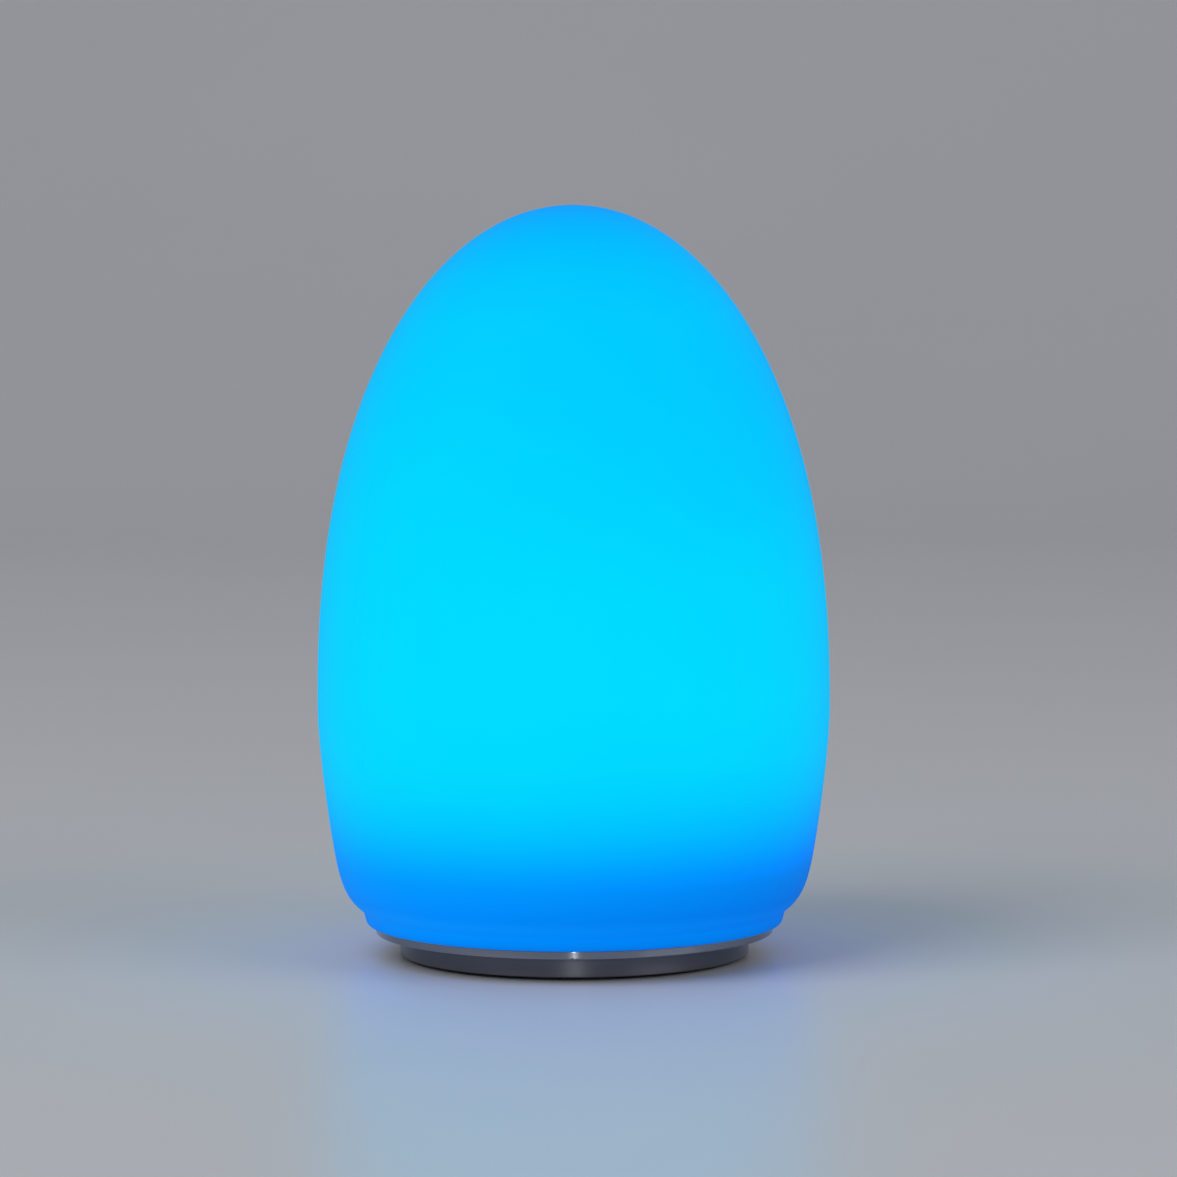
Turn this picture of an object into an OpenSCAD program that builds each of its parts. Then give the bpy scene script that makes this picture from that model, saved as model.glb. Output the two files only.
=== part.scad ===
// Egg-shaped cordless mood light: an opal glass egg on a thin steel trim ring
// and a narrow plastic foot, with the battery, charging port, switch, remote
// receiver and ring of colour diodes that make it work. Millimetres, Z up,
// table at Z = 0, the front of the lamp towards -Y.

/* [Shade] */
// Height of the whole lamp, table to tip
lamp_h = 150; // [120:1:200]
// Radius of the egg where it is widest
egg_r = 51.15; // [40:0.05:70]
// Height of the widest level
widest_z = 50; // [35:1:80]
// Roundness of the upper half along its height
up_p = 2.28; // [1.8:0.01:3]
// Roundness of the upper half across its width
up_q = 2.014; // [1.8:0.001:3]
// Gentle narrowing of the lower half
low_a = 0.1065; // [0.02:0.0005:0.2]
// Sharp tuck-in just above the neck
low_b = 0.0925; // [0.02:0.0005:0.2]
// How late the tuck-in starts
low_n = 14; // [4:1:24]
// Level that the lower curve aims for
neck_z = 8.6; // [6:0.1:14]
// Wall of the opal glass
glass_t = 2.5; // [1.5:0.1:4]
// Inside radius of the short neck below the egg
lip_in_r = 38.4; // [30:0.1:45]
// Radius of the neck's side just above its rounded edge
lip_r = 41.5; // [35:0.1:50]
// Rounding of the neck's lower edge
lip_round = 1; // [0.3:0.1:1.4]

/* [Trim ring] */
// Radius of the steel ring's visible edge
ring_r = 39.8; // [34:0.1:48]
// Underside of the steel ring
ring_z = 4.9; // [3:0.1:8]
// Thickness of the steel ring
ring_t = 1.75; // [0.8:0.05:3]
// Height of the collar that centres the glass
collar_h = 2.8; // [1:0.1:5]

/* [Base] */
// Radius of the narrow foot
foot_r = 34.9; // [28:0.1:40]
// Rounding of the foot's lower edge
foot_round = 0.3; // [0.2:0.1:1]
// Gap between the table and the foot's lower edge
foot_gap = 0.6; // [0.3:0.1:2]
// Radius of the tub that rises inside the glass
tub_r = 33.2; // [26:0.1:38]
// Wall of the tub
tub_t = 2.2; // [1.5:0.1:3]
// Top of the deck that carries the light board
deck_z = 24; // [22:0.5:40]
// Thickness of the deck
deck_t = 2; // [1.5:0.1:3]

/* [Bottom cover] */
// Underside of the cover
cover_z = 1; // [0.8:0.1:2]
// Thickness of the cover
cover_t = 2.2; // [1.8:0.1:3]
// Radius of the circle of cover screws
screw_pcd_r = 28; // [24:0.5:29]
// Radius of the circle of rubber feet
feet_pcd_r = 27; // [20:0.5:27]
// Radius of one rubber foot
foot_pad_r = 4; // [2:0.1:6]

/* [Power button] */
// Position of the button across the lamp
button_x = -8; // [-12:0.5:0]
// Position of the button, front to back
button_y = -13; // [-16:0.5:-10]
// Radius of the button cap
button_r = 4.2; // [3:0.1:5]
// How far the button travels
button_travel = 1; // [0.5:0.1:1.5]

/* [Charging port] */
// Position of the port across the lamp
port_x = 8; // [6:0.5:9]
// Position of the port, front to back
port_y = -13; // [-16:0.5:-10]
// Hinge line of the port's door
door_hinge_x = 13; // [12:0.1:14]
// Width of the port's door along its hinge
door_w = 12; // [10:0.5:13]

/* [Control board] */
// Underside of the control board
board_z = 9; // [7:0.5:12]
// Thickness of the boards
board_t = 1.2; // [0.8:0.1:1.6]

/* [Battery] */
// Radius of the lithium cell
cell_r = 7.1; // [6:0.1:9]
// Length of the lithium cell
cell_l = 49.2; // [40:0.1:50]
// Height of the cell's axis
cell_z = 14.5; // [12:0.1:16]
// Position of the cell's axis, front to back
cell_y = 10; // [8:0.5:12]

/* [Light board] */
// Radius of the light board
led_r = 29; // [20:0.5:32]
// Radius of the circle of colour diodes
led_pcd_r = 17; // [10:0.5:24]
// Number of diodes on that circle
led_count = 6; // [3:1:8]

/* [Hidden] */
ring_top = ring_z + ring_t;
cover_top = cover_z + cover_t;
tub_in = tub_r - tub_t;
cover_r = foot_r - 2.75;
led_top = deck_z + 1.6;
board_top = board_z + board_t;
v_end = 0.98;
hinge_z = cover_z + 0.95;
posts = [[-16.5, -20.5], [16.5, -20.5], [-16.5, -5.5], [16.5, -5.5]];

// ---- curve of the egg, as radius and height ----
function up_pt(t) = t >= 90 ? [0, lamp_h] :
  [egg_r * pow(cos(t), 2 / up_q), widest_z + (lamp_h - widest_z) * pow(sin(t), 2 / up_p)];
function up_nrm(t) = t >= 90 ? [0, 1] : let(s = max(sin(t), 0.001), c = cos(t),
  dr = -egg_r * 2 / up_q * pow(c, 2 / up_q - 1) * s,
  dz = (lamp_h - widest_z) * 2 / up_p * pow(s, 2 / up_p - 1) * c) [dz, -dr] / norm([dz, dr]);
function lo_pt(v) = [egg_r * (1 - low_a * pow(v, 1.5) - low_b * pow(v, low_n)),
  widest_z - (widest_z - neck_z) * v];
function lo_nrm(v) = let(g = egg_r * (1.5 * low_a * pow(v, 0.5) + low_n * low_b * pow(v, low_n - 1))
  / (widest_z - neck_z)) [1, -g] / norm([1, g]);
low_steps = 13;
up_steps = 20;
function low_v(i, end) = end * (1 - pow(1 - i / low_steps, 1.7));

module ring_of(r0, r1, z0, z1) {
  translate([0, 0, z0]) difference() {
    cylinder(r = r1, h = z1 - z0, $fn = 72);
    translate([0, 0, -1]) cylinder(r = r0, h = z1 - z0 + 2, $fn = 72);
  }
}

module box(size, at) { translate(at - [size[0] / 2, size[1] / 2, 0]) cube(size); }

// round-ended bar along Y, lying flat, of length l and width w
module slot_bar(l, w, h) {
  cube_l = l - w;
  union() {
    translate([-w / 2, -cube_l / 2, 0]) cube([w, cube_l, h]);
    for (s = [-1, 1]) translate([0, s * cube_l / 2, 0]) cylinder(r = w / 2, h = h, $fn = 24);
  }
}

module wire(pts, r) {
  for (i = [0 : len(pts) - 2]) {
    a = pts[i]; b = pts[i + 1]; d = b - a; l = norm(d);
    translate(a) rotate([0, acos(d[2] / l), atan2(d[1], d[0])]) {
      cylinder(r = r, h = l, $fn = 16);
      if (i > 0) sphere(r = r * 1.18, $fn = 20);
    }
  }
}

// ---- shade ----
module glass_shade() color([0.05, 0.75, 1]) rotate_extrude($fn = 72) polygon(concat(
  [[lip_in_r + 0.5, ring_top], [lip_r - lip_round, ring_top]],
  [for (a = [-72 : 18 : 0]) [lip_r - lip_round + lip_round * cos(a), ring_top + lip_round + lip_round * sin(a)]],
  [for (i = [low_steps : -1 : 1]) lo_pt(low_v(i, v_end))],
  [for (i = [0 : up_steps]) up_pt(90 * i / up_steps)],
  [for (i = [up_steps : -1 : 0]) up_pt(90 * i / up_steps) - glass_t * up_nrm(90 * i / up_steps)],
  [for (i = [1 : low_steps]) lo_pt(low_v(i, 1)) - glass_t * lo_nrm(low_v(i, 1))],
  [[lip_in_r, 10.2], [lip_in_r, ring_top + 0.5]]));

module shade_seal() color([0.85, 0.85, 0.85]) ring_of(37.4, lip_in_r, ring_top, ring_top + collar_h - 0.3);

module trim_ring() color([0.75, 0.75, 0.77]) difference() {
  rotate_extrude($fn = 72) polygon([[tub_r + 0.2, ring_z], [ring_r - 0.25, ring_z], [ring_r, ring_z + 0.25],
    [ring_r, ring_top - 0.25], [ring_r - 0.25, ring_top], [37.4, ring_top], [37.4, ring_top + collar_h - 0.3],
    [37.1, ring_top + collar_h], [36.2, ring_top + collar_h], [36.2, ring_top], [tub_r + 0.2, ring_top]]);
  for (a = [60, 180, 300]) rotate([0, 0, a]) translate([tub_r - 1, -4, ring_z - 1]) cube([2.4, 8, ring_t + 1.2]);
}

// ---- base ----
module base_housing() color([0.62, 0.63, 0.66]) difference() {
  union() {
    rotate_extrude($fn = 72) polygon(concat(
      [[foot_r - foot_round, foot_gap]],
      [for (a = [-60 : 30 : 0]) [foot_r - foot_round + foot_round * cos(a), foot_gap + foot_round + foot_round * sin(a)]],
      [[foot_r, ring_z - 0.2], [foot_r - 0.2, ring_z], [tub_r, ring_z], [tub_r, deck_z - 0.8], [tub_r - 0.8, deck_z],
       [0, deck_z], [0, deck_z - deck_t], [tub_in, deck_z - deck_t], [tub_in, cover_top + 0.6],
       [cover_r + 0.25, cover_top + 0.6], [cover_r + 0.25, foot_gap + 0.3], [cover_r + 0.55, foot_gap]]));
    // bosses for the cover screws
    for (a = [0 : 90 : 270]) rotate([0, 0, a]) translate([screw_pcd_r, 0, cover_top])
      cylinder(r = 3.2, h = deck_z - deck_t - cover_top + 0.5, $fn = 32);
    // bosses for the light board's screws
    for (a = [90, 210, 330]) rotate([0, 0, a]) translate([25, 0, 18]) cylinder(r = 2.5, h = 5, $fn = 32);
    // bayonet lugs that hold the trim ring down
    for (a = [0, 120, 240]) rotate([0, 0, a]) translate([tub_r - 1, -3, ring_top]) cube([2.2, 6, 1.6]);
  }
  for (a = [0 : 90 : 270]) rotate([0, 0, a]) translate([screw_pcd_r, 0, cover_top - 1]) cylinder(r = 1.2, h = 6.8, $fn = 24);
  for (a = [90, 210, 330]) rotate([0, 0, a]) translate([25, 0, 18.6]) cylinder(r = 1.2, h = 7, $fn = 24);
  for (x = [-15, 15], y = [-1, 21]) translate([x, y, deck_z - deck_t - 1]) cylinder(r = 0.9, h = 2.6, $fn = 24);
  translate([0, -10, deck_z - deck_t - 1]) cylinder(r = 3.2, h = deck_t + 2, $fn = 32);
}

module bottom_cover() color([0.58, 0.59, 0.62]) difference() {
  union() {
    rotate_extrude($fn = 72) polygon([[0, cover_z], [cover_r - 0.3, cover_z], [cover_r, cover_z + 0.3],
      [cover_r, cover_top], [0, cover_top]]);
    for (p = posts) translate([p[0], p[1], cover_top - 0.5]) cylinder(r = 2.2, h = board_z - cover_top + 0.5, $fn = 32);
    translate([2.5, port_y - 7.9, cover_top - 0.5]) cube([13.9, 15.8, 1.5]);
  }
  for (p = posts) translate([p[0], p[1], cover_top + 0.8]) cylinder(r = 0.8, h = 8, $fn = 24);
  for (a = [0 : 90 : 270]) rotate([0, 0, a]) translate([screw_pcd_r, 0, 0]) {
    cylinder(r = 1.4, h = 8, $fn = 24);
    cylinder(r = 2.6, h = cover_z + 1.3, $fn = 32);
  }
  for (a = [45 : 90 : 315]) rotate([0, 0, a]) translate([feet_pcd_r, 0, 0]) cylinder(r = foot_pad_r + 0.1, h = cover_z + 0.8, $fn = 40);
  // finger dish and hole for the power button
  translate([button_x, button_y, cover_z - 0.01]) cylinder(r1 = 8.3, r2 = 5.4, h = 0.9, $fn = 48);
  translate([button_x, button_y, 0]) cylinder(r = button_r + 0.3, h = 6, $fn = 40);
  // recess, deeper along the hinge, and slot for the charging port
  translate([3.2, port_y - door_w / 2 - 0.3, 0]) cube([11.4, door_w + 0.6, cover_z + 1.5]);
  translate([door_hinge_x - 1.2, port_y - door_w / 2 - 0.3, 0]) cube([2.8, door_w + 0.6, cover_z + 2.1]);
  translate([door_hinge_x, port_y - door_w / 2 - 1.2, hinge_z]) rotate([-90, 0, 0]) cylinder(r = 0.4, h = door_w + 2.4, $fn = 24);
  translate([port_x, port_y, 0]) slot_bar(9.4, 3.7, 8);
  // hole for the light pipe
  translate([0, -20.2, 0]) cylinder(r = 1.25, h = 6, $fn = 24);
}

module cover_seal() color([0.2, 0.2, 0.22]) ring_of(tub_in + 0.4, cover_r, cover_top, cover_top + 0.6);

module cover_screws() color([0.72, 0.72, 0.74]) for (a = [0 : 90 : 270]) rotate([0, 0, a]) translate([screw_pcd_r, 0, 0]) difference() {
  union() {
    translate([0, 0, cover_z + 0.35]) cylinder(r1 = 1.9, r2 = 2.3, h = 0.4, $fn = 32);
    translate([0, 0, cover_z + 0.75]) cylinder(r = 2.3, h = 0.55, $fn = 32);
    translate([0, 0, cover_z + 1.3]) cylinder(r = 1.2, h = 6.2, $fn = 24);
  }
  for (b = [0, 90]) rotate([0, 0, b]) translate([-1.2, -0.22, 0]) cube([2.4, 0.44, cover_z + 0.85]);
}

module rubber_feet() color([0.12, 0.12, 0.13]) for (a = [45 : 90 : 315]) rotate([0, 0, a]) translate([feet_pcd_r, 0, 0]) {
  cylinder(r1 = foot_pad_r - 0.3, r2 = foot_pad_r, h = 0.3, $fn = 40);
  translate([0, 0, 0.3]) cylinder(r = foot_pad_r, h = cover_z + 0.5, $fn = 40);
}

// ---- power switch ----
module power_button() color([0.8, 0.8, 0.82]) translate([button_x, button_y, 0]) difference() {
  union() {
    translate([0, 0, cover_z + 0.4]) cylinder(r1 = button_r - 0.3, r2 = button_r, h = 0.3, $fn = 40);
    translate([0, 0, cover_z + 0.7]) cylinder(r = button_r, h = 1.9, $fn = 40);
    translate([0, 0, cover_z + 2.5]) cylinder(r = button_r + 1, h = 0.8, $fn = 40);
  }
  translate([0, 0, cover_z + 0.75 - 8]) sphere(r = 8, $fn = 64);
}

module switch_plunger() color([0.15, 0.15, 0.16]) translate([button_x, button_y, cover_z + 3.3]) cylinder(r = 1.6, h = 2.2, $fn = 24);

module switch_body() color([0.3, 0.3, 0.32]) translate([button_x, button_y, 0]) {
  difference() {
    box([6, 6, board_z - 5.8], [0, 0, 5.8]);
    translate([0, 0, 5]) cylinder(r = 1.9, h = 2.8, $fn = 24);
  }
}

// ---- charging port ----
module charge_socket() color([0.7, 0.7, 0.72]) translate([port_x, port_y, cover_z + 1.7]) difference() {
  slot_bar(9, 3.3, board_z - cover_z - 1.7);
  translate([0, 0, -1]) slot_bar(8.4, 2.7, board_z - cover_z - 1.7);
}

module socket_tongue() color([0.12, 0.12, 0.14]) {
  box([0.7, 6.7, board_z - 1 - cover_z - 2.4], [port_x, port_y, cover_z + 2.4]);
}

module port_door() color([0.5, 0.51, 0.54]) difference() {
  union() {
    translate([door_hinge_x - 8.4, port_y - door_w / 2, cover_z + 0.05]) cube([8.4, door_w, 1.2]);
    translate([door_hinge_x, port_y - door_w / 2, hinge_z]) rotate([-90, 0, 0]) cylinder(r = 0.9, h = door_w, $fn = 32);
    translate([port_x, port_y, cover_z + 1]) slot_bar(7.4, 1.7, 1.05);
  }
  translate([door_hinge_x, port_y - door_w / 2 - 1, hinge_z]) rotate([-90, 0, 0]) cylinder(r = 0.45, h = door_w + 2, $fn = 24);
}

module door_pin() color([0.7, 0.7, 0.72]) translate([door_hinge_x, port_y - door_w / 2 - 1.1, hinge_z])
  rotate([-90, 0, 0]) cylinder(r = 0.4, h = door_w + 2.2, $fn = 24);

// ---- control board ----
module light_pipe() color([0.9, 0.9, 0.92]) translate([0, -20.2, 0]) {
  translate([0, 0, cover_z + 0.2]) cylinder(r = 1.25, h = cover_t - 0.2, $fn = 24);
  translate([0, 0, cover_top]) cylinder(r = 2.2, h = 0.8, $fn = 24);
  translate([0, 0, cover_top + 0.8]) cylinder(r = 1.25, h = 3.8, $fn = 24);
}

module indicator_led() color([0.9, 0.9, 0.8]) box([3.2, 1.6, 0.8], [0, -20.2, board_z - 0.8]);

module control_board() color([0.05, 0.35, 0.15]) difference() {
  translate([-19, -23, board_z]) cube([38, 20, board_t]);
  for (p = posts) translate([p[0], p[1], board_z - 1]) cylinder(r = 1.1, h = 4, $fn = 24);
}

module microcontroller() color([0.08, 0.08, 0.09]) translate([-6, -12.5, board_top]) {
  box([9.9, 3.9, 1.5], [0, 0, 0.1]);
  for (i = [0 : 7], s = [-1, 1]) box([0.45, 1.1, 0.25], [-4.4 + i * 1.257, s * 2.5, 0]);
}

module board_capacitors() color([0.75, 0.75, 0.78]) for (x = [4.2, 11.2]) translate([x, -19, board_top]) {
  box([6.6, 6.6, 0.8], [0, 0, 0]);
  translate([0, 0, 0.8]) cylinder(r = 3.1, h = 6, $fn = 32);
}

module power_inductor() color([0.2, 0.2, 0.22]) translate([-11, -19.2, board_top]) {
  difference() {
    box([6, 6, 3], [0, 0, 0]);
    translate([0, 0, 2.6]) cylinder(r = 2.2, h = 1, $fn = 32);
  }
}

module chip_parts() color([0.35, 0.3, 0.25]) {
  for (i = [0 : 3], y = [-20.6, -18.2]) box([0.8, 1.6, 0.6], [-6.4 + i * 1.8, y, board_top]);
  for (i = [0 : 3]) box([1.6, 0.8, 0.6], [5, -13.6 + i * 1.5, board_top]);
  box([4.9, 3.9, 1.5], [12, -12.5, board_top]);
}

module lead_connectors() color([0.92, 0.9, 0.85]) for (s = [-1, 1]) difference() {
  box([6, 5.2, 5.5], [s * 10, -6.2, board_top]);
  box([4.8, 4.2, 5.5], [s * 10, -6.2, board_top + 4.2]);
}

module board_screws() color([0.72, 0.72, 0.74]) for (p = posts) translate([p[0], p[1], 0]) difference() {
  union() {
    translate([0, 0, cover_top + 1.4]) cylinder(r = 0.8, h = board_top - cover_top - 1.4, $fn = 24);
    translate([0, 0, board_top]) cylinder(r = 1.8, h = 1.2, $fn = 24);
  }
  for (b = [0, 90]) rotate([0, 0, b]) translate([-1, -0.2, board_top + 0.7]) cube([2, 0.4, 1]);
}

// ---- battery ----
module battery_cell() color([0.1, 0.35, 0.7]) translate([-cell_l / 2, cell_y, cell_z]) rotate([0, 90, 0]) {
  cylinder(r = cell_r, h = cell_l - 3.4, $fn = 48);
  translate([0, 0, cell_l - 3.4]) cylinder(r = cell_r - 0.5, h = 0.8, $fn = 48);
  translate([0, 0, cell_l - 2.6]) cylinder(r = cell_r, h = 1.4, $fn = 48);
  translate([0, 0, cell_l - 1.2]) cylinder(r = 2.7, h = 1.2, $fn = 32);
}

module battery_clamps() color([0.85, 0.85, 0.87]) for (x = [-15, 15]) translate([x, cell_y, cell_z]) difference() {
  union() {
    rotate([0, 90, 0]) translate([0, 0, -4]) cylinder(r = cell_r + 1.25, h = 8, $fn = 48);
    translate([-4, -cell_r - 1.25, 0]) cube([8, 2 * cell_r + 2.5, deck_z - deck_t - cell_z]);
    translate([-4, -13.4, deck_z - deck_t - cell_z - 1.2]) cube([8, 26.8, 1.2]);
  }
  rotate([0, 90, 0]) translate([0, 0, -5]) cylinder(r = cell_r + 0.05, h = 10, $fn = 48);
  translate([-5, -cell_r - 0.05, 0]) cube([10, 2 * cell_r + 0.1, 12]);
  for (y = [-11, 11]) translate([0, y, 4]) cylinder(r = 1, h = 6, $fn = 24);
}

module clamp_screws() color([0.72, 0.72, 0.74]) for (x = [-15, 15], y = [-1, 21]) translate([x, y, deck_z - deck_t]) difference() {
  union() {
    translate([0, 0, -2.4]) cylinder(r = 1.7, h = 1.2, $fn = 24);
    translate([0, 0, -1.2]) cylinder(r = 0.9, h = 2.7, $fn = 24);
  }
  for (b = [0, 90]) rotate([0, 0, b]) translate([-0.95, -0.2, -3]) cube([1.9, 0.4, 1.1]);
}

module battery_lead_pos() color([0.75, 0.1, 0.08])
  wire([[24.6, 10, 14.5], [26, 10, 14.5], [25.9, 8.2, 10.2], [25.2, 5.4, 7.5], [22.2, 1.1, 7.6], [19.4, -1.3, 11], [12, -1.5, 13], [11.4, -2.4, 13.2], [11.4, -3.6, 13.2]], 0.6);

module battery_lead_neg() color([0.08, 0.08, 0.09])
  wire([[-24.6, 10, 14.5], [-26, 10, 14.5], [-25.9, 8.2, 10.2], [-25.2, 5.4, 7.3], [-21.6, 1.5, 6.5], [6.6, 0.4, 7.8], [8.6, -1.3, 12.2], [8.8, -2.4, 13.2], [8.8, -3.6, 13.2]], 0.6);

// ---- light board ----
module led_board() color([0.9, 0.9, 0.9]) difference() {
  translate([0, 0, deck_z]) cylinder(r = led_r, h = led_top - deck_z, $fn = 72);
  for (a = [90, 210, 330]) rotate([0, 0, a]) translate([25, 0, deck_z - 1]) cylinder(r = 1.4, h = 4, $fn = 24);
  translate([0, -10, deck_z - 1]) cylinder(r = 2.6, h = 4, $fn = 32);
}

module led_chips() color([0.95, 0.95, 0.85]) {
  for (i = [0 : led_count]) rotate([0, 0, i * 360 / led_count]) translate([i < led_count ? led_pcd_r : 0, 0, led_top]) difference() {
    box([5, 5, 1.6], [0, 0, 0]);
    translate([0, 0, 1.3]) cylinder(r = 2, h = 1, $fn = 24);
  }
}

module led_board_screws() color([0.72, 0.72, 0.74]) for (a = [90, 210, 330]) rotate([0, 0, a]) translate([25, 0, 0]) difference() {
  union() {
    translate([0, 0, 19]) cylinder(r = 1.2, h = led_top - 19, $fn = 24);
    translate([0, 0, led_top]) cylinder(r = 2.2, h = 1.4, $fn = 32);
  }
  for (b = [0, 90]) rotate([0, 0, b]) translate([-1.3, -0.25, led_top + 0.8]) cube([2.6, 0.5, 1]);
}

module ir_receiver() color([0.1, 0.08, 0.09]) translate([0, -22.4, led_top]) {
  box([5, 3.4, 7], [0, 0, 1.8]);
  translate([0, -1.2, 5.6]) sphere(r = 2.1, $fn = 32);
  for (x = [-1.8, 0, 1.8]) box([0.5, 0.4, 2], [x, 0.6, 0]);
}

module led_leads() color([0.9, 0.9, 0.85]) for (k = [-1, 0, 1])
  wire([[-10 + 1.6 * k, -3.6, 13.2], [-10 + 1.6 * k, -2.5, 13.2], [-8.4 + 1.4 * k, -1.9 + 0.8 * k, 16.4], [-4 + 1.2 * k, -5.4 + k, 18.8], [1.5 * k, -9.6 + 0.3 * k, 21.2], [1.4 * k, -10, led_top + 1.1], [1.4 * k, -6.3, led_top + 0.5]], 0.45);

glass_shade();
shade_seal();
trim_ring();
base_housing();
bottom_cover();
cover_seal();
cover_screws();
rubber_feet();
power_button();
switch_plunger();
switch_body();
charge_socket();
socket_tongue();
port_door();
door_pin();
light_pipe();
indicator_led();
control_board();
microcontroller();
board_capacitors();
power_inductor();
chip_parts();
lead_connectors();
board_screws();
battery_cell();
battery_clamps();
clamp_screws();
battery_lead_pos();
battery_lead_neg();
led_board();
led_chips();
led_board_screws();
ir_receiver();
led_leads();
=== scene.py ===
# Looks of the egg-shaped cordless mood light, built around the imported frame.
import math

import bmesh
import bpy
from mathutils import Matrix, Vector


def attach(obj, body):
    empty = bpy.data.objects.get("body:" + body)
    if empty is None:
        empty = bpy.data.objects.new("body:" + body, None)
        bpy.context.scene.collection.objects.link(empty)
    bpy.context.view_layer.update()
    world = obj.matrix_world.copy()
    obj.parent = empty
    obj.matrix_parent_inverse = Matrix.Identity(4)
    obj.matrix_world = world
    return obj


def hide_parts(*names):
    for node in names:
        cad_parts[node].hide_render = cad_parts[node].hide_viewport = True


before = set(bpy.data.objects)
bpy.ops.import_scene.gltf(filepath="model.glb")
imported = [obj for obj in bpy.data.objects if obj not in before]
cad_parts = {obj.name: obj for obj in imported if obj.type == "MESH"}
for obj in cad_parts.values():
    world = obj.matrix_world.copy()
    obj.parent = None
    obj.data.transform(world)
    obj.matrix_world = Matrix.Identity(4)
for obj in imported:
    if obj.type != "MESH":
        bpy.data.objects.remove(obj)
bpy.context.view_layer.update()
MM = 0.001

# ------------------------------------------------------------------ sizes, in mm, as in the CAD model
LAMP_H, EGG_R, WIDE_Z, UP_P, UP_Q = 150.0, 51.15, 50.0, 2.28, 2.014
LOW_A, LOW_B, LOW_N, NECK_Z, GLASS_T = 0.1065, 0.0925, 14, 8.6, 2.5
LIP_IN, LIP_R, LIP_ROUND, V_END = 38.4, 41.5, 1.0, 0.98
RING_R, RING_Z, RING_T, COLLAR_H = 39.8, 4.9, 1.75, 2.8
RING_TOP = RING_Z + RING_T
FOOT_R, FOOT_ROUND, FOOT_GAP, TUB_R, TUB_T, DECK_Z, DECK_T = 34.9, 0.3, 0.6, 33.2, 2.2, 24.0, 2.0
COVER_Z, COVER_T, COVER_R = 1.0, 2.2, 32.15
COVER_TOP = COVER_Z + COVER_T
SCREW_R, FEET_R, PAD_R = 28.0, 27.0, 4.0
BTN_X, BTN_Y, BTN_R = -8.0, -13.0, 4.2
PORT_X, PORT_Y, HINGE_X, DOOR_W = 8.0, -13.0, 13.0, 12.0
HINGE_Z = COVER_Z + 0.95
BOARD_Z, BOARD_T = 9.0, 1.2
BOARD_TOP = BOARD_Z + BOARD_T
LED_TOP = DECK_Z + 1.6
POSTS = [(-16.5, -20.5), (16.5, -20.5), (-16.5, -5.5), (16.5, -5.5)]


# ------------------------------------------------------------------ mesh helpers
def mesh_object(name, verts, faces):
    me = bpy.data.meshes.new(name)
    me.from_pydata([(x * MM, y * MM, z * MM) for x, y, z in verts], [], faces)
    ob = bpy.data.objects.new(name, me)
    bpy.context.scene.collection.objects.link(ob)
    bm = bmesh.new()
    bm.from_mesh(me)
    bmesh.ops.remove_doubles(bm, verts=bm.verts, dist=1e-7)
    bmesh.ops.dissolve_degenerate(bm, dist=1e-8, edges=bm.edges)
    bmesh.ops.recalc_face_normals(bm, faces=bm.faces)
    bm.to_mesh(me)
    bm.free()
    return ob


def rounded(pts, steps=5):
    """Closed outline of (a, b) or (a, b, fillet radius) points, with each named corner rounded."""
    out = []
    n = len(pts)
    for i, p in enumerate(pts):
        r = p[2] if len(p) > 2 else 0.0
        here = Vector((p[0], p[1]))
        if r <= 0:
            out.append((here.x, here.y))
            continue
        before, after = Vector(pts[i - 1][:2]), Vector(pts[(i + 1) % n][:2])
        u, v = (before - here), (after - here)
        lu, lv = u.length, v.length
        u, v = u / lu, v / lv
        half = math.acos(max(-1.0, min(1.0, u.dot(v)))) / 2
        if half > math.radians(88) or half < math.radians(3):
            out.append((here.x, here.y))
            continue
        d = min(r / math.tan(half), 0.48 * lu, 0.48 * lv)
        r = d * math.tan(half)
        centre = here + (u + v).normalized() * (r / math.sin(half))
        a, b = here + u * d - centre, here + v * d - centre
        omega = a.angle(b)
        for k in range(steps + 1):
            t = k / steps
            w = (a * math.sin((1 - t) * omega) + b * math.sin(t * omega)) / math.sin(omega)
            out.append((centre.x + w.x, centre.y + w.y))
    return out


def lathe(name, prof, n=128, smooth=35, at=(0, 0)):
    """Solid of revolution of a closed outline of (radius, height) points."""
    verts, rings = [], []
    for r, z in prof:
        if r < 1e-6:
            rings.append([len(verts)])
            verts.append((at[0], at[1], z))
        else:
            rings.append(list(range(len(verts), len(verts) + n)))
            for k in range(n):
                a = 2 * math.pi * k / n
                verts.append((at[0] + r * math.cos(a), at[1] + r * math.sin(a), z))
    faces = []
    m = len(rings)
    for i in range(m):
        p, q = rings[i], rings[(i + 1) % m]
        if len(p) == 1 and len(q) == 1:
            continue
        for k in range(n):
            k2 = (k + 1) % n
            if len(p) == 1:
                faces.append((p[0], q[k2], q[k]))
            elif len(q) == 1:
                faces.append((p[k], p[k2], q[0]))
            else:
                faces.append((p[k], p[k2], q[k2], q[k]))
    ob = mesh_object(name, verts, faces)
    shade(ob, smooth)
    return ob


def prism(name, outline, z0, z1, smooth=35, at=(0, 0)):
    """Upright prism on a closed outline of (x, y) points."""
    n = len(outline)
    verts = [(x + at[0], y + at[1], z0) for x, y in outline] + [(x + at[0], y + at[1], z1) for x, y in outline]
    faces = [tuple(reversed(range(n))), tuple(range(n, 2 * n))]
    faces += [(k, (k + 1) % n, n + (k + 1) % n, n + k) for k in range(n)]
    ob = mesh_object(name, verts, faces)
    shade(ob, smooth)
    return ob


def shade(ob, angle=35):
    me = ob.data
    for p in me.polygons:
        p.use_smooth = True
    me.set_sharp_from_angle(angle=math.radians(angle))


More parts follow.
